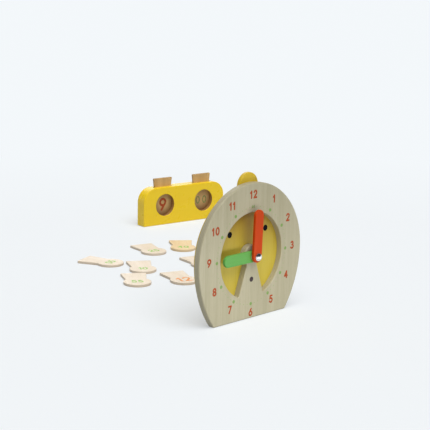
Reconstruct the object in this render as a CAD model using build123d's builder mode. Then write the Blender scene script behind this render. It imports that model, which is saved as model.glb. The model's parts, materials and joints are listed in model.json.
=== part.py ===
from build123d import *
import os
from math import asin, cos, degrees, radians, sin, tan

# A wooden toy set for learning to read the time: an analog clock with two hands, a block that shows
# the same time as two number tiles in round windows, and more number tiles lying loose.
# Millimetres. The clock's dial faces -Y and everything stands or lies on the floor at z = 0.
# The origin is the middle of the bottom face of the dial plate.

os.makedirs("parts", exist_ok=True)

# Outline of the clock: a half circle about the pivot, and below it two flatter sides to the floor
DIAL_RADIUS = 100.0
PIVOT_HEIGHT = 88.0
SIDE_RADIUS = 146.0
BOTTOM_CORNER = 3.0

# Dial plate: thick plywood with a round opening, out of which the hub rises on a wedge
PLATE_THICKNESS = 9.0
PLATE_ROUND = 2.0
OPENING_RADIUS = 60.0
OPENING_CORNER = 2.0
OPENING_ROUND = 1.2
HUB_RADIUS = 15.0
WEDGE_HALF_WIDTH = 5.4
WEDGE_HALF_ANGLE = 18.7

# Face board: the yellow board behind the opening, with a round tuft above the dial
BOARD_THICKNESS = 6.0
BOARD_INSET = 5.0
BOARD_ROUND = 1.0
TUFT_RADIUS = 18.0
TUFT_TOP = 201.0
BOARD_SCREW_CIRCLE = 80.0
BOARD_SCREW_ANGLES = (45.0, 135.0, 215.0, 325.0)

# Foot: a block behind the boards that keeps the clock upright
FOOT_WIDTH = 60.0
FOOT_DEPTH = 26.0
FOOT_HEIGHT = 32.0
FOOT_ROUND = 6.0
FOOT_TOP_ROUND = 3.0
FOOT_SCREW_SPACING = 36.0
FOOT_SCREW_HEIGHT = 15.0

# Countersunk wood screws
SCREW_SHANK_RADIUS = 1.9
SCREW_HEAD_RADIUS = 3.8
SCREW_HEAD_HEIGHT = 1.9
SCREW_HEAD_TAPER = 45.0
SCREW_POINT = 1.2
SCREW_HOLE_CLEARANCE = 0.1
BOARD_SCREW_BITE = 5.0
FOOT_SCREW_BITE = 6.0
RECESS_LENGTH = 4.0
RECESS_WIDTH = 0.9
RECESS_DEPTH = 1.1

# Pivot: one bolt through both boards and both hands, closed by a domed cap
BOLT_RADIUS = 2.5
BOLT_HOLE_CLEARANCE = 0.1
BOLT_HEAD_RADIUS = 5.0
BOLT_HEAD_HEIGHT = 3.2
BOLT_HEAD_ROUND = 1.4
WASHER_RADIUS = 7.0
WASHER_THICKNESS = 1.0
CAP_RADIUS = 5.6
CAP_RIM = 1.4
CAP_HEIGHT = 5.2
CAP_WALL = 1.6

# Hands
HAND_WIDTH = 16.0
HAND_THICKNESS = 4.5
HAND_ROUND = 1.0
HAND_RUNNING_GAP = 0.06
HOUR_HAND_REACH = 58.0
MINUTE_HAND_REACH = 64.5
HOUR_HAND_ANGLE = 270.0
MINUTE_HAND_ANGLE = 2.0

# Digital block: three boards on each other, the middle one with two slots open at the top
BLOCK_X = 358.0
BLOCK_Y = 498.0
BLOCK_TURN = 8.0
BLOCK_WIDTH = 180.0
BLOCK_HEIGHT = 69.0
BLOCK_CORNER = 26.0
BLOCK_FOOT_CORNER = 1.5
BLOCK_ROUND = 1.2
BLOCK_FRONT_THICKNESS = 8.0
BLOCK_BACK_THICKNESS = 9.0
WINDOW_RADIUS = 20.0
WINDOW_HEIGHT = 36.0
WINDOW_SPACING = 87.0
WINDOW_ROUND = 1.0
SLOT_SIDE_GAP = 0.3
SLOT_FACE_GAP = 0.3

# Number tiles: a round disc with a tail that widens to its end
TILE_RADIUS = 21.0
TILE_THICKNESS = 4.0
TILE_ROUND = 0.5
TAIL_START = 12.0
TAIL_START_WIDTH = 31.0
TAIL_END = 49.0
TAIL_END_WIDTH = 40.0
TAIL_CORNER = 1.5
TAIL_NECK_ROUND = 2.0

# Where the loose tiles lie, the eight of them in the same order: the disc's place and the tail's direction
LOOSE_TILE_X = (152.0, 207.0, 292.0, 60.0, 156.0, 2.0, 63.0, 48.0)
LOOSE_TILE_Y = (357.0, 344.0, 320.0, 281.0, 243.0, 229.0, 192.0, 345.0)
LOOSE_TILE_ANGLES = (74.0, 52.0, 124.0, 57.0, 73.0, 56.0, 70.0, 110.0)

# Planes along the depth, from the front of the pivot to the back of the foot
PLATE_FRONT = -PLATE_THICKNESS / 2
PLATE_BACK = PLATE_FRONT + PLATE_THICKNESS
BOARD_BACK = PLATE_BACK + BOARD_THICKNESS
FOOT_BACK = BOARD_BACK + FOOT_DEPTH
HOUR_HAND_BACK = PLATE_FRONT - WASHER_THICKNESS
HOUR_HAND_FRONT = HOUR_HAND_BACK - HAND_THICKNESS
MINUTE_HAND_BACK = HOUR_HAND_FRONT - WASHER_THICKNESS
MINUTE_HAND_FRONT = MINUTE_HAND_BACK - HAND_THICKNESS
BOLT_HEAD_SEAT = BOARD_BACK + WASHER_THICKNESS
BLOCK_CORE_THICKNESS = TILE_THICKNESS + 2 * SLOT_FACE_GAP


def front_plane(depth):
    """An upright plane that faces -Y, with its own origin on the floor below the pivot."""
    return Plane.XZ.offset(-depth)


def write(part, name):
    part.label = name
    export_step(part, f"parts/{name}.step")


def clock_outline(inset):
    """The clock's outline seen from the front, drawn in by the inset except along the floor."""
    side_radius = SIDE_RADIUS - inset
    side_angle = degrees(asin(PIVOT_HEIGHT / side_radius))
    side_centre = DIAL_RADIUS - SIDE_RADIUS
    with BuildSketch() as outline:
        with BuildLine():
            CenterArc((0, PIVOT_HEIGHT), DIAL_RADIUS - inset, 0, 180)
            right = CenterArc((side_centre, PIVOT_HEIGHT), side_radius, 0, -side_angle)
            left = CenterArc((-side_centre, PIVOT_HEIGHT), side_radius, 180, side_angle)
            Line(right @ 1, left @ 1)
        make_face()
        fillet(outline.vertices().group_by(Axis.Y)[0], BOTTOM_CORNER)
    return outline.sketch


plate_outline = clock_outline(0)
board_outline = clock_outline(BOARD_INSET)

pivot_point = (0, PIVOT_HEIGHT)
wedge_length = OPENING_RADIUS + HUB_RADIUS
wedge_foot_width = 2 * (WEDGE_HALF_WIDTH + wedge_length * tan(radians(WEDGE_HALF_ANGLE)))
with BuildSketch() as opening:
    with Locations(pivot_point):
        Circle(OPENING_RADIUS)
        Circle(HUB_RADIUS, mode=Mode.SUBTRACT)
        Trapezoid(
            wedge_foot_width,
            wedge_length,
            90 - WEDGE_HALF_ANGLE,
            align=(Align.CENTER, Align.MAX),
            mode=Mode.SUBTRACT,
        )
    fillet(opening.vertices(), OPENING_CORNER)

board_screw_points = [
    (BOARD_SCREW_CIRCLE * cos(radians(angle)), PIVOT_HEIGHT + BOARD_SCREW_CIRCLE * sin(radians(angle)))
    for angle in BOARD_SCREW_ANGLES
]
foot_screw_points = [
    (-FOOT_SCREW_SPACING / 2, FOOT_SCREW_HEIGHT),
    (FOOT_SCREW_SPACING / 2, FOOT_SCREW_HEIGHT),
]

# Dial plate
with BuildPart() as dial_plate:
    with BuildSketch(front_plane(PLATE_BACK)):
        add(plate_outline)
        add(opening.sketch, mode=Mode.SUBTRACT)
    extrude(amount=PLATE_THICKNESS)
    fillet(dial_plate.faces().sort_by(Axis.Y)[0].outer_wire().edges(), PLATE_ROUND)
    fillet(dial_plate.faces().sort_by(Axis.Y)[0].inner_wires()[0].edges(), OPENING_ROUND)
    with BuildSketch(front_plane(PLATE_BACK)):
        with Locations(pivot_point):
            Circle(BOLT_RADIUS + BOLT_HOLE_CLEARANCE)
    extrude(amount=PLATE_THICKNESS, mode=Mode.SUBTRACT)
    with BuildSketch(front_plane(PLATE_BACK)):
        with Locations(*board_screw_points):
            Circle(SCREW_SHANK_RADIUS)
    extrude(amount=BOARD_SCREW_BITE, mode=Mode.SUBTRACT)
    with BuildSketch(front_plane(PLATE_BACK)):
        with Locations(*foot_screw_points):
            Circle(SCREW_SHANK_RADIUS)
    extrude(amount=FOOT_SCREW_BITE, mode=Mode.SUBTRACT)
write(dial_plate.part, "dial_plate")

# Face board with its tuft, whose stem runs down into the board as far as the pivot
tuft_stem = TUFT_TOP - TUFT_RADIUS - PIVOT_HEIGHT
with BuildPart() as face_board:
    with BuildSketch(front_plane(BOARD_BACK)):
        add(board_outline)
        with Locations((0, TUFT_TOP - TUFT_RADIUS)):
            Circle(TUFT_RADIUS)
            Rectangle(2 * TUFT_RADIUS, tuft_stem, align=(Align.CENTER, Align.MAX))
    extrude(amount=BOARD_THICKNESS)
    tuft_rim = face_board.edges().filter_by(GeomType.CIRCLE).sort_by(Axis.Z)[-2:]
    fillet(tuft_rim, BOARD_ROUND)
    with BuildSketch(front_plane(BOARD_BACK)):
        with Locations(pivot_point):
            Circle(BOLT_RADIUS + BOLT_HOLE_CLEARANCE)
    extrude(amount=BOARD_THICKNESS, mode=Mode.SUBTRACT)
    with BuildSketch(front_plane(BOARD_BACK)):
        with Locations(*board_screw_points, *foot_screw_points):
            Circle(SCREW_SHANK_RADIUS + SCREW_HOLE_CLEARANCE)
    extrude(amount=BOARD_THICKNESS, mode=Mode.SUBTRACT)
    with BuildSketch(front_plane(BOARD_BACK)):
        with Locations(*board_screw_points):
            Circle(SCREW_HEAD_RADIUS)
    extrude(amount=SCREW_HEAD_HEIGHT, taper=SCREW_HEAD_TAPER, mode=Mode.SUBTRACT)
write(face_board.part, "face_board")

# Foot behind the boards
with BuildPart() as rear_foot:
    with BuildSketch(Plane.XY):
        with Locations((0, BOARD_BACK)):
            Rectangle(FOOT_WIDTH, FOOT_DEPTH, align=(Align.CENTER, Align.MIN))
    extrude(amount=FOOT_HEIGHT)
    fillet(rear_foot.edges().filter_by(Axis.Z).group_by(Axis.Y)[-1], FOOT_ROUND)
    top_edges = rear_foot.faces().sort_by(Axis.Z)[-1].edges().sort_by(Axis.Y)
    fillet(top_edges[1:], FOOT_TOP_ROUND)
    with BuildSketch(front_plane(FOOT_BACK)):
        with Locations(*foot_screw_points):
            Circle(SCREW_SHANK_RADIUS + SCREW_HOLE_CLEARANCE)
    extrude(amount=FOOT_DEPTH, mode=Mode.SUBTRACT)
    with BuildSketch(front_plane(FOOT_BACK)):
        with Locations(*foot_screw_points):
            Circle(SCREW_HEAD_RADIUS)
    extrude(amount=SCREW_HEAD_HEIGHT, taper=SCREW_HEAD_TAPER, mode=Mode.SUBTRACT)
write(rear_foot.part, "rear_foot")


def wood_screws(head_depth, length, points):
    """Countersunk screws side by side, their flat heads at one depth and their points towards -Y."""
    with BuildPart() as screws:
        with BuildSketch(front_plane(head_depth)):
            with Locations(*points):
                Circle(SCREW_SHANK_RADIUS)
        extrude(amount=length)
        chamfer(screws.faces().sort_by(Axis.Y)[: len(points)].edges(), SCREW_POINT)
        with BuildSketch(front_plane(head_depth)):
            with Locations(*points):
                Circle(SCREW_HEAD_RADIUS)
        extrude(amount=SCREW_HEAD_HEIGHT, taper=SCREW_HEAD_TAPER)
        with BuildSketch(front_plane(head_depth)):
            with Locations(*points):
                Rectangle(RECESS_LENGTH, RECESS_WIDTH)
                Rectangle(RECESS_WIDTH, RECESS_LENGTH)
        extrude(amount=RECESS_DEPTH, mode=Mode.SUBTRACT)
    return screws.part


write(wood_screws(BOARD_BACK, BOARD_THICKNESS + BOARD_SCREW_BITE, board_screw_points), "board_screws")
foot_screw_length = FOOT_DEPTH + BOARD_THICKNESS + FOOT_SCREW_BITE
write(wood_screws(FOOT_BACK, foot_screw_length, foot_screw_points), "foot_screws")

# Pivot bolt: a domed head behind the face board and a shank that ends inside the cap
bolt_front = MINUTE_HAND_FRONT - CAP_HEIGHT + CAP_WALL
with BuildPart() as pivot_bolt:
    with BuildSketch(front_plane(BOLT_HEAD_SEAT)):
        with Locations(pivot_point):
            Circle(BOLT_HEAD_RADIUS)
    extrude(amount=-BOLT_HEAD_HEIGHT)
    fillet(pivot_bolt.faces().sort_by(Axis.Y)[-1].edges(), BOLT_HEAD_ROUND)
    with BuildSketch(front_plane(BOLT_HEAD_SEAT)):
        with Locations(pivot_point):
            Circle(BOLT_RADIUS)
    extrude(amount=BOLT_HEAD_SEAT - bolt_front)
    with BuildSketch(front_plane(BOLT_HEAD_SEAT + BOLT_HEAD_HEIGHT)):
        with Locations(pivot_point):
            Rectangle(RECESS_LENGTH, RECESS_WIDTH)
            Rectangle(RECESS_WIDTH, RECESS_LENGTH)
    extrude(amount=RECESS_DEPTH, mode=Mode.SUBTRACT)
write(pivot_bolt.part, "pivot_bolt")

# Domed cap on the front end of the bolt
with BuildPart() as cap_nut:
    with BuildSketch(Plane.XY.offset(PIVOT_HEIGHT)):
        with BuildLine():
            dome = TangentArc(
                (0, MINUTE_HAND_FRONT - CAP_HEIGHT), (CAP_RADIUS, MINUTE_HAND_FRONT - CAP_RIM), tangent=(1, 0)
            )
            Polyline(
                dome @ 1,
                (CAP_RADIUS, MINUTE_HAND_FRONT),
                (BOLT_RADIUS, MINUTE_HAND_FRONT),
                (BOLT_RADIUS, bolt_front),
                (0, bolt_front),
                dome @ 0,
            )
        make_face()
    revolve(axis=Axis((0, 0, PIVOT_HEIGHT), (0, 1, 0)))
write(cap_nut.part, "cap_nut")


def washer(back):
    """A flat ring on the bolt, with its back face at the given depth."""
    with BuildPart() as ring:
        with BuildSketch(front_plane(back)):
            with Locations(pivot_point):
                Circle(WASHER_RADIUS)
                Circle(BOLT_RADIUS + BOLT_HOLE_CLEARANCE, mode=Mode.SUBTRACT)
        extrude(amount=WASHER_THICKNESS)
    return ring.part


write(washer(BOLT_HEAD_SEAT), "rear_washer")
write(washer(PLATE_FRONT), "hub_washer")
write(washer(HOUR_HAND_FRONT), "middle_washer")


def clock_hand(reach, back, clock_angle):
    """A flat hand with round ends, pointing to an angle that is counted clockwise from twelve."""
    angle = radians(clock_angle)
    along_hand = Plane(
        origin=(0, back, PIVOT_HEIGHT), x_dir=(cos(angle), 0, -sin(angle)), z_dir=(0, -1, 0)
    )
    straight = reach - HAND_WIDTH / 2
    with BuildPart() as hand:
        with BuildSketch(along_hand):
            with Locations((0, straight / 2)):
                SlotCenterToCenter(straight, HAND_WIDTH, rotation=90)
        extrude(amount=HAND_THICKNESS)
        fillet(hand.edges().group_by(Axis.Y)[0], HAND_ROUND)
        fillet(hand.edges().group_by(Axis.Y)[-1], HAND_ROUND)
        with BuildSketch(along_hand):
            Circle(BOLT_RADIUS + HAND_RUNNING_GAP)
        extrude(amount=HAND_THICKNESS, mode=Mode.SUBTRACT)
    return hand.part


write(clock_hand(HOUR_HAND_REACH, HOUR_HAND_BACK, HOUR_HAND_ANGLE), "hour_hand")
write(clock_hand(MINUTE_HAND_REACH, MINUTE_HAND_BACK, MINUTE_HAND_ANGLE), "minute_hand")

# Digital block, turned a little about Z; its local origin is on the floor at the middle of its front
block_turn = radians(BLOCK_TURN)
block_plane = Plane(
    origin=(BLOCK_X, BLOCK_Y, 0),
    x_dir=(cos(block_turn), -sin(block_turn), 0),
    z_dir=(-sin(block_turn), -cos(block_turn), 0),
)
block_core_front = block_plane.offset(-BLOCK_FRONT_THICKNESS)
block_core_back = block_core_front.offset(-BLOCK_CORE_THICKNESS)
block_back_face = block_core_back.offset(-BLOCK_BACK_THICKNESS)
window_points = [
    (-WINDOW_SPACING / 2, WINDOW_HEIGHT),
    (WINDOW_SPACING / 2, WINDOW_HEIGHT),
]

with BuildSketch() as block_outline:
    Rectangle(BLOCK_WIDTH, BLOCK_HEIGHT, align=(Align.CENTER, Align.MIN))
    fillet(block_outline.vertices().group_by(Axis.Y)[-1], BLOCK_CORNER)
    fillet(block_outline.vertices().group_by(Axis.Y)[0], BLOCK_FOOT_CORNER)

block_outward = Axis(block_plane.origin, block_plane.z_dir)
with BuildPart() as block_front:
    with BuildSketch(block_core_front):
        add(block_outline.sketch)
        with Locations(*window_points):
            Circle(WINDOW_RADIUS, mode=Mode.SUBTRACT)
    extrude(amount=BLOCK_FRONT_THICKNESS)
    fillet(block_front.faces().sort_by(block_outward)[-1].outer_wire().edges(), BLOCK_ROUND)
    window_rims = block_front.faces().sort_by(block_outward)[-1].inner_wires()
    fillet([rim.edge() for rim in window_rims], WINDOW_ROUND)
write(block_front.part, "block_front")

with BuildPart() as block_core:
    with BuildSketch(block_core_back):
        add(block_outline.sketch)
        with Locations(*window_points):
            Circle(TILE_RADIUS + SLOT_SIDE_GAP, mode=Mode.SUBTRACT)
            Rectangle(
                2 * (TILE_RADIUS + SLOT_SIDE_GAP),
                BLOCK_HEIGHT,
                align=(Align.CENTER, Align.MIN),
                mode=Mode.SUBTRACT,
            )
    extrude(amount=BLOCK_CORE_THICKNESS)
write(block_core.part, "block_core")

with BuildPart() as block_back:
    with BuildSketch(block_back_face):
        add(block_outline.sketch)
    extrude(amount=BLOCK_BACK_THICKNESS)
    fillet(block_back.faces().sort_by(block_outward)[0].edges(), BLOCK_ROUND)
write(block_back.part, "block_back")


def number_tile(plane):
    """A tile on a plane: the disc's middle at the plane's origin and the tail along its y axis."""
    with BuildPart() as tile:
        with BuildSketch(plane) as outline:
            with BuildLine():
                Polyline(
                    (-TAIL_START_WIDTH / 2, TAIL_START),
                    (-TAIL_END_WIDTH / 2, TAIL_END),
                    (TAIL_END_WIDTH / 2, TAIL_END),
                    (TAIL_START_WIDTH / 2, TAIL_START),
                    close=True,
                )
            make_face()
            fillet(outline.vertices().group_by(Axis.Y)[-1], TAIL_CORNER)
            Circle(TILE_RADIUS)
            neck = outline.vertices().filter_by_position(Axis.Y, TAIL_START, TAIL_END / 2)
            fillet(neck, TAIL_NECK_ROUND)
        extrude(amount=TILE_THICKNESS)
        fillet(tile.faces().sort_by(SortBy.AREA)[-2:].edges(), TILE_ROUND)
    return tile.part


# The two tiles in the block, with their tails standing out of the slots
tile_back = block_core_back.offset(SLOT_FACE_GAP)
for name, point in (("tile_hour", window_points[0]), ("tile_minute", window_points[1])):
    slot_plane = Plane(
        origin=tile_back.from_local_coords(Vector(*point)), x_dir=tile_back.x_dir, z_dir=tile_back.z_dir
    )
    write(number_tile(slot_plane), name)

# The loose tiles, flat on the floor
loose_places = zip(LOOSE_TILE_X, LOOSE_TILE_Y, LOOSE_TILE_ANGLES)
for index, (x, y, direction) in enumerate(loose_places, start=1):
    across = radians(direction - 90)
    floor_plane = Plane(origin=(x, y, 0), x_dir=(cos(across), sin(across), 0), z_dir=(0, 0, 1))
    write(number_tile(floor_plane), f"loose_tile_{index}")
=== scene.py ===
import json
import math

import bpy
from mathutils import Matrix, Vector


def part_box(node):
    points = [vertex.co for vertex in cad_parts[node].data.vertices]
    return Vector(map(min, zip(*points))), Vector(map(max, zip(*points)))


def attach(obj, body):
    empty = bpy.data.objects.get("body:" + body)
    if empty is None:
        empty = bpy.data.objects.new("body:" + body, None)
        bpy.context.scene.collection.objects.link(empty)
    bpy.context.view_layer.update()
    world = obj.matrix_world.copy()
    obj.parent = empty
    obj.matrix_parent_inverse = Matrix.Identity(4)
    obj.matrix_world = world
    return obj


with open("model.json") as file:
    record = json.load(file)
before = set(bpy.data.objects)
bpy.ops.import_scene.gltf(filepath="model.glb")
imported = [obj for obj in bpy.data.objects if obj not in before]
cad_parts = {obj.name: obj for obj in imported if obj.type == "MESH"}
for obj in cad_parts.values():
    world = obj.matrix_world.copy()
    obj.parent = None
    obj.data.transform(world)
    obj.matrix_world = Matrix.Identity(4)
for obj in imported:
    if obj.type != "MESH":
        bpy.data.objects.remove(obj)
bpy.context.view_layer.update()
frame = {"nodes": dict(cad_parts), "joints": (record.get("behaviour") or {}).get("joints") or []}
cad = frame["nodes"]
bpy.ops.object.select_all(action="DESELECT")


# Dial plate. Nine millimetre plywood, cut and bored in one piece with its hub and wedge, the edges
# rounded over, then matt lacquered. The pale face veneer has its grain upright, and the cut edges
# show the layers as thin light and dark lines.
class Wire:
    """A shader socket that can be used in plain arithmetic. Each operator adds its Math node."""

    def __init__(self, finish, socket):
        self.finish = finish
        self.socket = socket

    def maths(self, operation, first, second):
        return self.finish.put("ShaderNodeMath", {"operation": operation}, {0: first, 1: second})

    def __add__(self, other):
        return self.maths("ADD", self, other)

    def __radd__(self, other):
        return self.maths("ADD", other, self)

    def __sub__(self, other):
        return self.maths("SUBTRACT", self, other)

    def __rsub__(self, other):
        return self.maths("SUBTRACT", other, self)

    def __mul__(self, other):
        return self.maths("MULTIPLY", self, other)

    def __rmul__(self, other):
        return self.maths("MULTIPLY", other, self)

    def __lt__(self, other):
        return self.maths("LESS_THAN", self, other)


COAT_ROUGHNESS = 0.25


class Finish:
    """A node tree: put() adds a node and hands back its first output, or the one that is named."""

    def __init__(self, name, kind="materials"):
        self.material = getattr(bpy.data, kind).new(name)
        self.material.use_nodes = True
        self.tree = self.material.node_tree
        self.tree.nodes.clear()

    def put(self, kind, settings=None, inputs=None, output=0):
        node = self.tree.nodes.new(kind)
        for setting, value in (settings or {}).items():
            if setting == "stops":
                self.set_stops(node.color_ramp, value)
            else:
                setattr(node, setting, value)
        for socket, value in (inputs or {}).items():
            if isinstance(value, Wire):
                self.tree.links.new(value.socket, node.inputs[socket])
            else:
                node.inputs[socket].default_value = value
        return Wire(self, node.outputs[output]) if node.outputs else node

    @staticmethod
    def set_stops(ramp, stops):
        while len(ramp.elements) < len(stops):
            ramp.elements.new(1.0)
        for element, (place, colour) in zip(ramp.elements, stops):
            element.position = place
            element.color = (*colour, 1.0)

    def mixed(self, amount, first, second, blend="MIX"):
        """A colour between two colours."""
        settings = {"data_type": "RGBA", "blend_type": blend}
        return self.put("ShaderNodeMix", settings, {0: amount, 6: first, 7: second}, output=2)

    def noise(self, place, scale, detail=3.0, roughness=0.55):
        inputs = {"Vector": place, "Scale": scale, "Detail": detail, "Roughness": roughness}
        return self.put("ShaderNodeTexNoise", {}, inputs)

    def grain(self, axes, scales, detail):
        """Noise that is stretched along a board, from its three axes and a scale for each."""
        places = {index: axis * scale for index, (axis, scale) in enumerate(zip(axes, scales))}
        return self.noise(self.put("ShaderNodeCombineXYZ", {}, places), 1.0, detail)

    def place(self):
        """Where a point is on the piece, which is where its CAD has it."""
        return self.put("ShaderNodeTexCoord", {}, {}, output="Object")

    def ranged(self, value, low, high, new_low=0.0, new_high=1.0):
        inputs = {"Value": value, 1: low, 2: high, 3: new_low, 4: new_high}
        return self.put("ShaderNodeMapRange", {"clamp": True}, inputs)

    def surface(self, colour, roughness, height=None, bump=0.0, coat=0.0, metallic=0.0, shine=0.5):
        """Closes the material with one principled surface."""
        sockets = {
            "Base Color": colour,
            "Roughness": roughness,
            "Metallic": metallic,
            "Coat Weight": coat,
            "Coat Roughness": COAT_ROUGHNESS,
            "Specular IOR Level": shine,
        }
        if height is not None:
            ridges = {"Strength": 1.0, "Distance": bump, "Height": height}
            sockets["Normal"] = self.put("ShaderNodeBump", {}, ridges)
        shader = self.put("ShaderNodeBsdfPrincipled", {}, sockets)
        self.put("ShaderNodeOutputMaterial", {}, {"Surface": shader})
        return self.material


def board_axes(finish, turn=0.0, flat=False):
    """Places across, through and along a board, and how much a surface faces out of the board's side.

    The board stands upright and faces -Y, turned by an angle about Z, or it lies flat."""
    turned = {"Rotation": (0.0, 0.0, turn)}
    axes = []
    for source in ("Object", "Normal"):
        read = finish.put("ShaderNodeTexCoord", {}, {}, output=source)
        place = finish.put("ShaderNodeMapping", {"vector_type": "POINT"}, {"Vector": read, **turned})
        split = finish.put("ShaderNodeSeparateXYZ", {}, {"Vector": place}).socket.node
        x, y, z = (Wire(finish, socket) for socket in split.outputs)
        axes.append((x, z, y) if flat else (x, y, z))
    across, through, along = axes[0]
    facing = finish.put("ShaderNodeMath", {"operation": "ABSOLUTE"}, {0: axes[1][1]})
    return across, through, along, facing


# Painted shade of a window on the disc in it: its brown, how far its middle lies above the disc's,
# where it starts and where it has faded out as shares of its own rim, and how high above the disc's middle
# it still reaches, in radii
WINDOW_SHADE_BROWN = (0.150, 0.055, 0.008, 1.0)
WINDOW_SHADE_RISE = 0.3
WINDOW_SHADE_START = 0.35
WINDOW_SHADE_END = 1.2
WINDOW_SHADE_REACH = 0.6
SCORCH_BROWN = (0.115, 0.066, 0.030, 1.0)
LACQUER_COAT = 0.12
# Scales across, through and along a board, for the bands, the fibres and the pores of its wood
PLY_BANDS = (55.0, 20.0, 2.2)
PLY_FIBRES = (900.0, 300.0, 18.0)
PLY_PORES = (2200.0, 900.0, 90.0)
PLY_END_GRAIN = (1500.0, 700.0, 1500.0)
PLY_RIDGES = 0.00012


def smoked(finish, face, across, along, disc, radius):
    """Darkens a face towards the lower rim of a disc: painted shade of the window the disc sits in."""
    aside = across - disc[0]
    above = along - (disc[1] + WINDOW_SHADE_RISE * radius)
    spread = finish.put("ShaderNodeMath", {"operation": "SQRT"}, {0: aside * aside + above * above})
    rim = (1.0 + WINDOW_SHADE_RISE) * radius
    inside = finish.ranged(spread, WINDOW_SHADE_START * rim, rim)
    outside = finish.ranged(spread, rim, WINDOW_SHADE_END * rim, 1.0, 0.0)
    low = finish.ranged(along, disc[1], disc[1] + WINDOW_SHADE_REACH * radius, 1.0, 0.0)
    return finish.mixed(inside * outside * low, face, WINDOW_SHADE_BROWN)


def plywood(name, pale, dark, thickness, layers, turn=0.0, flat=False, scorch=0.0, contrast=0.26, seed=0.0,
            discs=(), disc_radius=0.0):
    """Lacquered plywood: fibres and broad bands along the grain, and layers on the cut edges.

    A laser cut leaves the edges scorched, and painted shade darkens the face towards a disc's lower rim."""
    finish = Finish(name)
    across, through, along, facing = board_axes(finish, turn, flat)
    grown = (across + seed, through, along)
    broad = finish.grain(grown, PLY_BANDS, 2.0)
    fibre = finish.grain(grown, PLY_FIBRES, 2.0)
    pores = finish.grain(grown, PLY_PORES, 1.0)
    streak = finish.ranged(broad * 0.62 + fibre * 0.38, 0.36, 0.66)
    face = finish.mixed(streak, (*pale, 1.0), (*dark, 1.0))
    fleck = finish.ranged(pores, 0.62, 0.75, 0.0, 0.35)
    face = finish.mixed(fleck, face, tuple(0.62 * c for c in dark) + (1.0,))
    for disc in discs:
        face = smoked(finish, face, across, along, disc, disc_radius)
    counted = through * (layers / thickness)
    ply = finish.put("ShaderNodeMath", {"operation": "PINGPONG"}, {0: counted, 1: 1.0})
    layer = finish.ranged(ply, 0.35, 0.65)
    end_pale = tuple(0.97 * c for c in pale) + (1.0,)
    end_dark = (0.74 * dark[0], 0.66 * dark[1], 0.56 * dark[2], 1.0)
    speckle = finish.grain((across, through, along), PLY_END_GRAIN, 1.0)
    edge = finish.mixed(layer * contrast + speckle * 0.18, end_pale, end_dark)
    on_edge = finish.ranged(facing, 0.45, 0.75, 1.0, 0.0)
    if scorch:
        burnt = scorch * finish.ranged(speckle, 0.2, 0.8, 0.85, 1.15)
        edge = finish.mixed(burnt, edge, SCORCH_BROWN)
    colour = finish.mixed(on_edge, face, edge)
    height = fibre * 0.6 + pores * 0.4 - layer * on_edge * 0.2
    roughness = finish.ranged(fibre, 0.3, 0.7, 0.46, 0.60)
    return finish.surface(colour, roughness, height, PLY_RIDGES, coat=LACQUER_COAT)


def dress(name, material):
    """Gives a CAD node its material."""
    node = cad[name]
    node.data.materials.clear()
    node.data.materials.append(material)


plate_front, plate_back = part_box("dial_plate")
plate_thickness = plate_back.y - plate_front.y
PLATE_PALE = (0.492, 0.452, 0.308)
PLATE_DARK = (0.406, 0.370, 0.236)
PLATE_LAYERS = 7
dress("dial_plate", plywood("plate_wood", PLATE_PALE, PLATE_DARK, plate_thickness, PLATE_LAYERS))


# Numbers on the dial. Hours in warm red and minutes in light green, screen printed on the lacquer
# with round-ended strokes, a few hundredths of a millimetre thick. The pivot is their centre.
pivot = next(joint for joint in frame["joints"] if joint["name"] == "hour_hand_turn")
dial_centre = Vector((0.0, 0.0, pivot["pos_m"][2]))


def bow(centre, half_width, half_height, start, end, steps=20):
    """Points along part of an ellipse, the angles in degrees and counted from the right upwards."""
    points = []
    for step in range(steps + 1):
        angle = math.radians(start + (end - start) * step / steps)
        points.append((centre[0] + half_width * math.cos(angle), centre[1] + half_height * math.sin(angle)))
    return points


# Each figure is one unit tall: its width, and its strokes as the pen draws them
FIGURES = {
    "0": (0.56, [bow((0.28, 0.5), 0.28, 0.5, 90, 450, 36)]),
    "1": (0.22, [[(0.0, 0.76), (0.22, 1.0)], [(0.22, 1.0), (0.22, 0.0)]]),
    "2": (0.56, [bow((0.28, 0.72), 0.27, 0.28, 165, -38) + [(0.02, 0.0)], [(0.02, 0.0), (0.56, 0.0)]]),
    "3": (0.54, [bow((0.25, 0.76), 0.23, 0.24, 155, -90), bow((0.25, 0.26), 0.28, 0.26, 90, -155)]),
    "4": (0.60, [[(0.44, 0.0), (0.44, 1.0)], [(0.44, 1.0), (0.0, 0.3)], [(0.0, 0.3), (0.6, 0.3)]]),
    "5": (0.55, [[(0.5, 1.0), (0.12, 1.0)], [(0.12, 1.0), (0.06, 0.55)],
                 [(0.06, 0.55)] + bow((0.26, 0.31), 0.29, 0.31, 118, -155)]),
    "6": (0.58, [bow((0.29, 0.3), 0.29, 0.3, 0, 360, 32), [(0.42, 1.0), (0.05, 0.44)]]),
    "7": (0.54, [[(0.0, 1.0), (0.54, 1.0)], [(0.54, 1.0), (0.16, 0.0)]]),
    "8": (0.56, [bow((0.28, 0.76), 0.23, 0.24, 0, 360, 28), bow((0.28, 0.26), 0.28, 0.26, 0, 360, 32)]),
    "9": (0.58, [bow((0.29, 0.7), 0.29, 0.3, 0, 360, 32), [(0.16, 0.0), (0.53, 0.56)]]),
}
INK_HEIGHT = 0.00008
# Shares of half a pen's width at which a stroke's round end is drawn
END_STEPS = (0.45, 0.8, 0.97)


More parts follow.
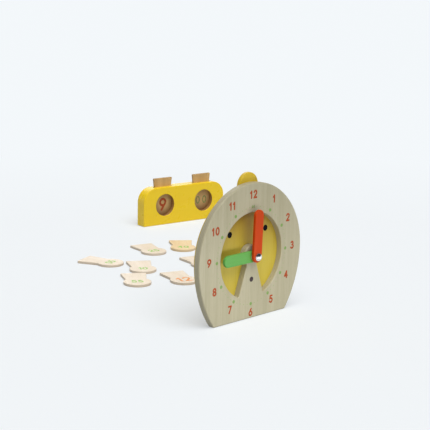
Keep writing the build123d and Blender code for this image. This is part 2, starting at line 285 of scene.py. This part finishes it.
def print_number(name, text, height, pen, place, material, apart=0.30):
    """Prints a number: height and pen width in metres, place a matrix whose Z points out of the wood."""
    curve = bpy.data.curves.new(name, "CURVE")
    curve.dimensions = "3D"
    curve.bevel_depth = pen / 2
    curve.bevel_resolution = 2
    curve.use_fill_caps = True
    body = height - pen
    gap = apart + pen / height
    total = sum(FIGURES[figure][0] for figure in text) + gap * (len(text) - 1)
    left = -total / 2
    for figure in text:
        width, strokes = FIGURES[figure]
        for stroke in strokes:
            points = [Vector(((left + x) * body, (z - 0.5) * body, 0.0)) for x, z in stroke]
            closed = (points[0] - points[-1]).length < pen * 0.01
            radii = [1.0] * len(points)
            if closed:
                points.pop()
                radii.pop()
            else:
                first, last = points[0], points[-1]
                back = (first - points[1]).normalized() * pen / 2
                on = (last - points[-2]).normalized() * pen / 2
                for share in END_STEPS:
                    size = math.sqrt(1.0 - share * share)
                    points.insert(0, first + back * share)
                    radii.insert(0, size)
                    points.append(last + on * share)
                    radii.append(size)
            spline = curve.splines.new("POLY")
            spline.points.add(len(points) - 1)
            for point, co, radius in zip(spline.points, points, radii):
                point.co = (*co, 1.0)
                point.radius = radius
            spline.use_cyclic_u = closed
        left += width + gap
    ink = bpy.data.objects.new(name, curve)
    bpy.context.collection.objects.link(ink)
    bpy.ops.object.select_all(action="DESELECT")
    ink.select_set(True)
    bpy.context.view_layer.objects.active = ink
    bpy.ops.object.convert(target="MESH")
    ink = bpy.context.view_layer.objects.active
    ink.select_set(False)
    flatten = Matrix.Diagonal((1.0, 1.0, INK_HEIGHT / (pen / 2), 1.0))
    ink.data.transform(place @ flatten)
    ink.data.materials.clear()
    ink.data.materials.append(material)
    for polygon in ink.data.polygons:
        polygon.use_smooth = True
    return ink


def facing_front(centre, turn=0.0):
    """A place on an upright surface that faces -Y, turned clockwise seen from above."""
    right = Vector((math.cos(turn), -math.sin(turn), 0.0))
    out = Vector((-math.sin(turn), -math.cos(turn), 0.0))
    up = Vector((0.0, 0.0, 1.0))
    rows = zip(right, up, out, centre)
    return Matrix([*rows, (0.0, 0.0, 0.0, 1.0)])


WOOD_UNDER_INK = (0.60, 0.54, 0.42, 1.0)


def printed_ink(name, colour, patchy=0.12):
    """Matt ink that covers the wood, a little thinner here and there."""
    finish = Finish(name)
    cloud = finish.noise(finish.place(), 900.0)
    thin = finish.ranged(cloud, 0.45, 0.75, 0.0, patchy)
    shade = finish.mixed(thin, (*colour, 1.0), WOOD_UNDER_INK)
    return finish.surface(shade, finish.ranged(cloud, 0.3, 0.7, 0.42, 0.55), cloud, 0.00002, shine=0.25)


hour_ink = printed_ink("hour_ink", (0.400, 0.055, 0.005))
HOUR_CIRCLE = 0.0818
HOUR_CIRCLE_RISE = 0.0025
HOUR_HEIGHT = 0.0117
HOUR_PEN = 0.0025
MINUTE_ANGLE = 6.0


def on_dial(circle, minutes, rise=0.0):
    """The middle of a mark on the dial plate's front face, at a place on the minute circle."""
    angle = math.radians(MINUTE_ANGLE * minutes)
    out = Vector((math.sin(angle), 0.0, math.cos(angle)))
    return dial_centre + out * circle + Vector((0.0, plate_front.y, rise))


for hour in range(1, 13):
    place = facing_front(on_dial(HOUR_CIRCLE, 5 * hour, HOUR_CIRCLE_RISE))
    numeral = print_number(f"hour_{hour}", str(hour), HOUR_HEIGHT, HOUR_PEN, place, hour_ink)
    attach(numeral, "clock")


# Minute marks. A green dot at every fifth minute but the top, a small 00 there, and four faint dots
# in between, all printed with the numbers on the same lacquer.
minute_ink = printed_ink("minute_ink", (0.185, 0.335, 0.078), 0.30)
faint_ink = printed_ink("faint_minute_ink", (0.300, 0.400, 0.180), 0.5)
MINUTE_CIRCLE = 0.0675
FIFTH_DOT_RADIUS = 0.0024
DOT_RADIUS = 0.0008
ZERO_HEIGHT = 0.0040
ZERO_PEN = 0.0010


def domed_spot(name, radius, height, centre, material, sides=48, rings=1):
    """A low domed spot that faces -Y, inset ring by ring from a circle."""
    bpy.ops.object.select_all(action="DESELECT")
    bpy.ops.mesh.primitive_circle_add(vertices=sides, radius=radius, fill_type="NGON")
    spot = bpy.context.view_layer.objects.active
    spot.name = name
    bpy.ops.object.mode_set(mode="EDIT")
    bpy.ops.mesh.select_all(action="SELECT")
    inner, raised = 1.0, 0.0
    for ring in range(rings):
        share = math.cos(math.pi / 2 * (ring + 1) / (rings + 1))
        level = math.sqrt(1.0 - share * share)
        bpy.ops.mesh.inset(thickness=radius * (inner - share), depth=height * (level - raised))
        inner, raised = share, level
    bpy.ops.object.mode_set(mode="OBJECT")
    spot.data.transform(facing_front(centre))
    spot.data.materials.append(material)
    spot.select_set(False)
    for polygon in spot.data.polygons:
        polygon.use_smooth = True
    return spot


def joined(name, spots):
    """Makes one piece of several."""
    bpy.ops.object.select_all(action="DESELECT")
    for spot in spots:
        spot.select_set(True)
    bpy.context.view_layer.objects.active = spots[0]
    bpy.ops.object.join()
    whole = bpy.context.view_layer.objects.active
    whole.name = name
    whole.select_set(False)
    return whole


fifths = []
betweens = []
for minute in range(1, 60):
    centre = on_dial(MINUTE_CIRCLE, minute)
    if minute % 5:
        betweens.append(domed_spot("dot", DOT_RADIUS, INK_HEIGHT, centre, faint_ink, 10))
    else:
        fifths.append(domed_spot("dot", FIFTH_DOT_RADIUS, INK_HEIGHT, centre, minute_ink, 20, 2))
top = facing_front(on_dial(MINUTE_CIRCLE, 0))
top_zeros = print_number("top_zeros", "00", ZERO_HEIGHT, ZERO_PEN, top, minute_ink)
for mark in (joined("fifth_minute_dots", fifths), joined("minute_dots", betweens), top_zeros):
    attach(mark, "clock")


# Face board and the spots of the face. The board behind the opening is plywood stained yellow, so
# its upright grain still shows. Two black eyes are painted on it, and a plum nose on the wedge.
board_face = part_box("face_board")[0].y
PAINT_BANDS = (70.0, 30.0, 3.0)
PAINT_FIBRES = (1100.0, 400.0, 24.0)
PAINT_RIDGES = 0.00006
BARE_PALE = (0.440, 0.245, 0.090, 1.0)
BARE_DARK = (0.330, 0.170, 0.056, 1.0)
# How far the painted shade's edge wanders up and down, and how deep behind the front face it fades out
SHADE_EDGE_WANDER = 0.010
SHADE_FADE_DEPTH = (0.002, 0.004)


def painted_wood(name, colour, deep, turn=0.0, grain=0.5, gloss=0.34, shine=0.25, seed=0.0, level=False,
                 bores=(), shade_tints=(), front_face=0.0):
    """Wood under stain or paint: the grain shows faintly in the colour and as fine ridges.

    The grain runs upright, or level. The walls of the bores are bare wood. Shade tints are painted
    shade: what the front face is multiplied by at certain heights."""
    finish = Finish(name)
    across, through, along, facing = board_axes(finish, turn)
    bored = 0.0
    for bore_across, bore_height, radius in bores:
        aside = across - bore_across
        above = along - bore_height
        bored = bored + (aside * aside + above * above < radius * radius)
    if level:
        across, along = along, across
    grown = (across + seed, through, along)
    broad = finish.grain(grown, PAINT_BANDS, 3.0)
    fibre = finish.grain(grown, PAINT_FIBRES, 2.0)
    streak = finish.ranged(broad * 0.5 + fibre * 0.5, 0.35, 0.68)
    shade = finish.mixed(streak * grain, (*colour, 1.0), (*deep, 1.0))
    if shade_tints:
        low, high = shade_tints[0][0], shade_tints[-1][0]
        climbed = finish.ranged(along + (broad - 0.5) * SHADE_EDGE_WANDER, low, high)
        stops = [((height - low) / (high - low), tint) for height, tint in shade_tints]
        painted_shade_ramp = finish.put("ShaderNodeValToRGB", {"stops": stops}, {0: climbed})
        shallow, deepest = (front_face + depth for depth in SHADE_FADE_DEPTH)
        front = finish.ranged(through, shallow, deepest, 1.0, 0.0)
        shade = finish.mixed(front, shade, painted_shade_ramp, "MULTIPLY")
    if bores:
        wall = finish.ranged(facing, 0.35, 0.55, 1.0, 0.0) * bored
        shade = finish.mixed(wall, shade, finish.mixed(fibre, BARE_PALE, BARE_DARK))
    cloud = finish.noise(finish.place(), 60.0)
    roughness = finish.ranged(cloud, 0.3, 0.7, gloss - 0.02, gloss + 0.04)
    return finish.surface(shade, roughness, fibre, PAINT_RIDGES, shine=shine)


# Painted shade, darkest at the top of the opening: the front face's tint at each height above the floor
PAINTED_SHADE_TINTS = (
    (0.078, (0.820, 0.920, 1.200)),
    (0.110, (0.700, 0.730, 0.900)),
    (0.144, (0.540, 0.470, 0.560)),
    (0.172, (0.560, 0.500, 0.560)),
    (0.188, (1.000, 1.000, 0.640)),
)
STAIN_PALE = (0.740, 0.520, 0.052)
STAIN_DEEP = (0.610, 0.405, 0.032)
dress("face_board", painted_wood("face_stain_with_painted_shade", STAIN_PALE, STAIN_DEEP, grain=0.7, seed=0.31, shine=0.3,
                                 shade_tints=PAINTED_SHADE_TINTS, front_face=board_face))

EYE_RADIUS = 0.0043
EYE_SIDE = 0.035
EYE_UP = 0.032
NOSE_RADIUS = 0.0036
NOSE_DOWN = 0.033
SPOT_HEIGHT = 0.00035


def spot_paint(name, colour, shine):
    """A drop of satin paint."""
    finish = Finish(name)
    cloud = finish.noise(finish.place(), 400.0)
    lighter = tuple(1.6 * c for c in colour)
    shade = finish.mixed(finish.ranged(cloud, 0.3, 0.7), (*colour, 1.0), (*lighter, 1.0))
    return finish.surface(shade, finish.ranged(cloud, 0.3, 0.7, 0.22, 0.34), cloud, 0.00003, shine=shine)


eye_paint = spot_paint("eye_paint", (0.002, 0.0015, 0.003), 0.05)
nose_paint = spot_paint("nose_paint", (0.034, 0.021, 0.024), 0.25)
for side, name in ((-1, "left_eye"), (1, "right_eye")):
    centre = Vector((side * EYE_SIDE, board_face, dial_centre.z + EYE_UP))
    eye = domed_spot(name, EYE_RADIUS, SPOT_HEIGHT, centre, eye_paint, rings=4)
    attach(eye, "clock")
centre = Vector((0.0, plate_front.y, dial_centre.z - NOSE_DOWN))
nose = domed_spot("nose", NOSE_RADIUS, SPOT_HEIGHT, centre, nose_paint, rings=4)
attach(nose, "clock")


# Foot and the screws. A solid beech block behind the boards keeps the clock upright. Two long
# countersunk screws hold it, and four short ones hold the face board, all zinc plated steel.
BEECH_BANDS = (6.0, 90.0, 90.0)
BEECH_RAYS = (60.0, 1400.0, 1400.0)
BEECH_PALE = (0.590, 0.420, 0.250, 1.0)
BEECH_DARK = (0.480, 0.310, 0.165, 1.0)
RAY_BROWN = (0.300, 0.160, 0.070, 1.0)


def solid_beech(name):
    """Lacquered beech with the grain from side to side and short dark rays."""
    finish = Finish(name)
    read = finish.place()
    point = {"vector_type": "POINT"}
    grain = finish.put("ShaderNodeMapping", point, {"Vector": read, "Scale": BEECH_BANDS})
    fine = finish.put("ShaderNodeMapping", point, {"Vector": read, "Scale": BEECH_RAYS})
    broad = finish.noise(grain, 1.0)
    rays = finish.noise(fine, 1.0, 1.0)
    shade = finish.mixed(finish.ranged(broad, 0.32, 0.68), BEECH_PALE, BEECH_DARK)
    shade = finish.mixed(finish.ranged(rays, 0.60, 0.72, 0.0, 0.5), shade, RAY_BROWN)
    roughness = finish.ranged(rays, 0.3, 0.7, 0.44, 0.58)
    return finish.surface(shade, roughness, rays, 0.0001, coat=LACQUER_COAT)


def plated_steel(name, colour, gloss):
    """Turned and plated steel, a little uneven."""
    finish = Finish(name)
    place = finish.place()
    cloud = finish.noise(place, 700.0)
    marks = finish.noise(place, 4500.0, 1.0)
    darker = tuple(0.8 * c for c in colour)
    shade = finish.mixed(finish.ranged(cloud, 0.3, 0.7), (*colour, 1.0), (*darker, 1.0))
    roughness = finish.ranged(marks, 0.3, 0.7, gloss, gloss + 0.12)
    return finish.surface(shade, roughness, marks, 0.00001, metallic=1.0)


dress("rear_foot", solid_beech("foot_beech"))
zinc = plated_steel("zinc", (0.640, 0.610, 0.520), 0.28)
dress("board_screws", zinc)
dress("foot_screws", zinc)


# Pivot. A steel bolt through boards and hands with a washer under its head, two nylon washers
# that let the hands turn apart from each other, and a bright domed cap pressed on in front.
def nylon(name):
    """Slightly milky nylon, cut from a tube."""
    finish = Finish(name)
    cloud = finish.noise(finish.place(), 500.0)
    shade = finish.mixed(cloud, (0.760, 0.740, 0.680, 1.0), (0.680, 0.660, 0.590, 1.0))
    return finish.surface(shade, finish.ranged(cloud, 0.3, 0.7, 0.38, 0.5), cloud, 0.00002)


bolt_steel = plated_steel("bolt_steel", (0.620, 0.620, 0.630), 0.24)
dress("pivot_bolt", bolt_steel)
dress("rear_washer", bolt_steel)
milky_nylon = nylon("milky_nylon")
dress("hub_washer", milky_nylon)
dress("middle_washer", milky_nylon)
dress("cap_nut", plated_steel("cap_chrome", (0.860, 0.860, 0.870), 0.05))


# Hands. Cut from thin wood with round ends and soft edges, the hour hand painted green and the
# minute hand red. The paint is satin and thick enough that only a breath of the grain shows.
HAND_GREEN = ((0.128, 0.400, 0.081), (0.095, 0.330, 0.059))
HAND_RED = ((0.590, 0.058, 0.004), (0.495, 0.043, 0.003))
dress("hour_hand", painted_wood("green_paint", *HAND_GREEN, grain=0.45, gloss=0.36, level=True))
dress("minute_hand", painted_wood("red_paint", *HAND_RED, grain=0.45, gloss=0.34, shine=0.14, seed=0.12))


# Digital block. Three boards glued face to face and painted bright yellow, with the grain from
# end to end. The middle board is cut out under each round window, so a tile drops in from above.
# The windows were bored after painting, so their walls are bare wood.
DISC_RADIUS = 0.021
WINDOW_WALL = 0.0204
windows = []
for name in ("tile_hour", "tile_minute"):
    low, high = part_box(name)
    windows.append(Vector(((low.x + high.x) / 2, (low.y + high.y) / 2, low.z + DISC_RADIUS)))
block_length = windows[1] - windows[0]
block_turn = math.atan2(-block_length.y, block_length.x)
block_right = Vector((math.cos(block_turn), -math.sin(block_turn), 0.0))
block_out = Vector((-math.sin(block_turn), -math.cos(block_turn), 0.0))
BLOCK_YELLOW = ((0.990, 0.698, 0.015), (0.960, 0.632, 0.010))
BLOCK_FINISH = {"turn": block_turn, "grain": 0.6, "gloss": 0.28, "shine": 0.4, "level": True}
bores = [(window.dot(block_right), window.z, WINDOW_WALL) for window in windows]
dress("block_front", painted_wood("block_front_paint", *BLOCK_YELLOW, **BLOCK_FINISH, bores=bores))
block_paint = painted_wood("block_paint", *BLOCK_YELLOW, **BLOCK_FINISH)
dress("block_core", block_paint)
dress("block_back", block_paint)


# Tiles in the block. Four millimetre plywood tiles with a wide tail to hold them by, the hour
# printed large in red and the minutes small in green. Their wood is browner than the loose ones.
TILE_THICKNESS = 0.004
TILE_LAYERS = 3
TILE_CONTRAST = 0.35
BROWN_PALE = (0.680, 0.440, 0.175)
BROWN_DARK = (0.520, 0.305, 0.105)
discs = [(window.dot(block_right), window.z) for window in windows]
# The discs get painted shade of their windows, darker towards each disc's lower rim.
block_tile_wood = plywood("block_tile_wood", BROWN_PALE, BROWN_DARK, TILE_THICKNESS, TILE_LAYERS,
                          turn=block_turn, scorch=0.30, contrast=TILE_CONTRAST, seed=0.4, discs=discs,
                          disc_radius=DISC_RADIUS)
dress("tile_hour", block_tile_wood)
dress("tile_minute", block_tile_wood)
tile_green = printed_ink("tile_green", (0.150, 0.230, 0.045), 0.3)
# The body, its number with height, pen and room between figures, the ink, its slot and the window
for body, text, height, pen, apart, ink, slot, window in (
    ("hour_tile", "9", 0.0240, 0.0042, 0.30, hour_ink, "red_paint", windows[0]),
    ("minute_tile", "00", 0.0145, 0.0020, 0.48, tile_green, "green_paint", windows[1]),
):
    place = facing_front(window + block_out * TILE_THICKNESS / 2, block_turn)
    number = print_number(f"{body}_number", text, height, pen, place, ink, apart)
    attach(number, body)


# Loose tiles. Eight more of the same, in pale plywood, lying face up on the floor. Minutes are green
# and hours are orange, and each number reads upright with the tail at its top.
loose_hour_ink = printed_ink("loose_hour_ink", (0.900, 0.330, 0.080), 0.2)
loose_minute_ink = printed_ink("loose_minute_ink", (0.330, 0.620, 0.100), 0.2)
PALE_PLY = ((0.880, 0.765, 0.620), (0.815, 0.680, 0.512))
GOLDEN_PLY = ((0.935, 0.740, 0.452), (0.870, 0.630, 0.345))
LOOSE_SCORCH = 0.10
# Height, pen and room between figures
MINUTE_PRINT = (0.0135, 0.0025, 0.16)
HOUR_PRINT = (0.0210, 0.0036, 0.20)

# Where each disc's middle is, the tail's direction from it in degrees, the wood and the number
LOOSE_TILES = (
    (0.152, 0.357, 74, PALE_PLY, "25"),
    (0.207, 0.344, 52, GOLDEN_PLY, "40"),
    (0.292, 0.320, 124, GOLDEN_PLY, "35"),
    (0.060, 0.281, 57, PALE_PLY, "10"),
    (0.156, 0.243, 73, PALE_PLY, "2"),
    (0.002, 0.229, 56, PALE_PLY, "55"),
    (0.063, 0.192, 70, PALE_PLY, "12"),
    (0.048, 0.345, 110, PALE_PLY, "05"),
)
HOUR_NUMBERS = ("2", "12")
for index, (x, y, direction, (pale, dark), text) in enumerate(LOOSE_TILES, start=1):
    name = f"loose_tile_{index}"
    low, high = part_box(name)
    turn = math.radians(90 - direction)
    dress(name, plywood(f"{name}_wood", pale, dark, high.z - low.z, TILE_LAYERS, turn, flat=True,
                        scorch=LOOSE_SCORCH, contrast=TILE_CONTRAST, seed=0.07 * index))
    up = Vector((math.sin(turn), math.cos(turn), 0.0))
    right = Vector((math.cos(turn), -math.sin(turn), 0.0))
    rows = zip(right, up, (0.0, 0.0, 1.0), (x, y, high.z))
    lying = Matrix([*rows, (0.0, 0.0, 0.0, 1.0)])
    is_hour = text in HOUR_NUMBERS
    ink = loose_hour_ink if is_hour else loose_minute_ink
    height, pen, apart = HOUR_PRINT if is_hour else MINUTE_PRINT
    number = print_number(f"{name}_number", text, height, pen, lying, ink, apart)
    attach(number, name)


# Table top. A wide, matt, white sheet that the set stands on, not part of the set. It is lit by the
# lamps near the set, with a share of its own glow, and passes into an even white backdrop further off.
BACKDROP = (0.900, 0.935, 0.960, 1.0)
SHEET_NEAR = 0.70
SHEET_FAR = 1.40
SHEET_GLOW = 0.45
SHEET_SIZE = 60.0
SHEET_DROP = 0.0001
SHEET_PALE = (0.900, 0.930, 0.955, 1.0)
SHEET_DARK = (0.888, 0.918, 0.943, 1.0)


def seen_directly(finish):
    """One where a camera, a mirror or glass looks at something, and nought for its light on the rest."""
    ray = finish.put("ShaderNodeLightPath", {}, {}, output="Is Camera Ray").socket.node
    kinds = ("Is Camera Ray", "Is Glossy Ray", "Is Transmission Ray")
    camera_ray, glossy_ray, glass_ray = (Wire(finish, ray.outputs[kind]) for kind in kinds)
    return camera_ray + glossy_ray + glass_ray


sheet = Finish("white_sheet")
place = sheet.place()
distance = sheet.put("ShaderNodeVectorMath", {"operation": "LENGTH"}, {0: place}, output="Value")
faded = sheet.ranged(distance, SHEET_NEAR, SHEET_FAR, SHEET_GLOW, 1.0)
cloud = sheet.noise(place, 2.0)
shade = sheet.mixed(cloud, SHEET_PALE, SHEET_DARK)
fine = sheet.noise(place, 900.0)
grit = sheet.put("ShaderNodeBump", {}, {"Strength": 1.0, "Distance": 0.00002, "Height": fine})
matt = {"Base Color": shade, "Roughness": 0.8, "Normal": grit, "Specular IOR Level": 0.2}
paper = sheet.put("ShaderNodeBsdfPrincipled", {}, matt)
glow = sheet.put("ShaderNodeEmission", {}, {"Color": BACKDROP, "Strength": 1.0})
unlit = sheet.put("ShaderNodeEmission", {}, {"Color": BACKDROP, "Strength": 0.0})
backing = sheet.put("ShaderNodeMixShader", {}, {0: seen_directly(sheet), 1: unlit, 2: glow})
both = sheet.put("ShaderNodeMixShader", {}, {0: faded, 1: paper, 2: backing})
sheet.put("ShaderNodeOutputMaterial", {}, {"Surface": both})

bpy.ops.object.select_all(action="DESELECT")
bpy.ops.mesh.primitive_plane_add(size=SHEET_SIZE, location=(0.0, 0.0, -SHEET_DROP))
table = bpy.context.view_layer.objects.active
table.name = "table"
table.data.materials.append(sheet.material)
table.select_set(False)


# Light. A wide soft lamp overhead, which doesn't light the cap, a rim lamp from behind, and a low
# panel in front that stands for the glow of the white table. The last two don't light the table.
LAMP_TILT = math.radians(27)
LAMP_TURN = math.radians(-22)
LAMP_WIDTH = math.radians(56)
LAMP_STRENGTH = 2.48
LAMP_COLOUR = (1.0, 0.99, 0.975)
RIM_TILT = math.radians(-68)
RIM_TURN = math.radians(-25)
RIM_WIDTH = math.radians(40)
RIM_STRENGTH = 0.65


def lights_all_but(name, left_out, lamps):
    """Keeps the light of some lamps off one object."""
    linked = bpy.data.collections.new(name)
    linked.objects.link(left_out)
    linked.collection_objects[0].light_linking.link_state = "EXCLUDE"
    for one in lamps:
        one.light_linking.receiver_collection = linked


bpy.ops.object.light_add(type="SUN", rotation=(LAMP_TILT, 0.0, LAMP_TURN))
lamp = bpy.context.view_layer.objects.active
lamp.data.energy = LAMP_STRENGTH
lamp.data.angle = LAMP_WIDTH
lamp.data.color = LAMP_COLOUR
lamp.select_set(False)

bpy.ops.object.light_add(type="SUN", rotation=(RIM_TILT, 0.0, RIM_TURN))
rim_lamp = bpy.context.view_layer.objects.active
rim_lamp.data.energy = RIM_STRENGTH
rim_lamp.data.angle = RIM_WIDTH
rim_lamp.select_set(False)

PANEL_PLACE = Vector((-0.02, -0.20, 0.005))
PANEL_AIM = Vector((0.0, 0.0, 0.04))
PANEL_SIZE = (0.36, 0.12)
PANEL_POWER = 0.40
panel_turn = (PANEL_AIM - PANEL_PLACE).to_track_quat("-Z", "Y").to_euler()
bpy.ops.object.light_add(type="AREA", location=PANEL_PLACE, rotation=panel_turn)
panel = bpy.context.view_layer.objects.active
panel.data.shape = "RECTANGLE"
panel.data.size, panel.data.size_y = PANEL_SIZE
panel.data.energy = PANEL_POWER
panel.visible_camera = False
panel.select_set(False)
lights_all_but("all_but_cap", cad["cap_nut"], [lamp])
lights_all_but("all_but_table", table, [panel, rim_lamp])

# The surround lights evenly. Mirrors see the backdrop up to a low height and a dark ceiling above it.
SURROUND_LIGHT = (0.96, 0.98, 1.0, 1.0)
SURROUND_STRENGTH = 0.29
CEILING = (0.060, 0.065, 0.075, 1.0)
CEILING_FROM = 0.22
CEILING_TO = 0.32
surround = Finish("surround", "worlds")
light = surround.put("ShaderNodeBackground", {}, {"Color": SURROUND_LIGHT, "Strength": SURROUND_STRENGTH})
direction = surround.put("ShaderNodeTexCoord", {}, {}, output="Generated")
height = surround.put("ShaderNodeSeparateXYZ", {}, {"Vector": direction}, output="Z")
mirrored = surround.put("ShaderNodeLightPath", {}, {}, output="Is Glossy Ray")
overhead = surround.ranged(height, CEILING_FROM, CEILING_TO) * mirrored
ceiling = surround.mixed(overhead, BACKDROP, CEILING)
backdrop = surround.put("ShaderNodeBackground", {}, {"Color": ceiling, "Strength": 1.0})
both = surround.put("ShaderNodeMixShader", {}, {0: seen_directly(surround), 1: light, 2: backdrop})
surround.put("ShaderNodeOutputWorld", {}, {"Surface": both})
bpy.context.scene.world = surround.material


# Camera. To the left of the dial and a little above it, and turned about its own axis so that upright
# edges lean to the right as they do in the photograph. Its field of view is in pixels of the picture.
AIM = Vector((-0.073, -0.0045, 0.154))
DISTANCE = 1.6
YAW = math.radians(45.5)
ELEVATION = math.radians(12.0)
LEAN = math.radians(1.2)
PIXELS = 430
FOCAL_PIXELS = 1232
SENSOR = 36.0
level_away = Vector((-math.sin(YAW), -math.cos(YAW), 0.0))
away = level_away * math.cos(ELEVATION) + Vector((0.0, 0.0, math.sin(ELEVATION)))
side = Vector((0.0, 0.0, 1.0)).cross(away).normalized()
top = away.cross(side)
camera_side = side * math.cos(LEAN) + top * math.sin(LEAN)
camera_top = top * math.cos(LEAN) - side * math.sin(LEAN)
rows = zip(camera_side, camera_top, away, AIM + away * DISTANCE)
bpy.ops.object.camera_add()
camera = bpy.context.view_layer.objects.active
camera.matrix_world = Matrix([*rows, (0.0, 0.0, 0.0, 1.0)])
camera.data.sensor_width = SENSOR
camera.data.lens = FOCAL_PIXELS / PIXELS * SENSOR
camera.data.clip_end = 100.0
bpy.context.scene.camera = camera
bpy.context.scene.view_settings.view_transform = "Standard"
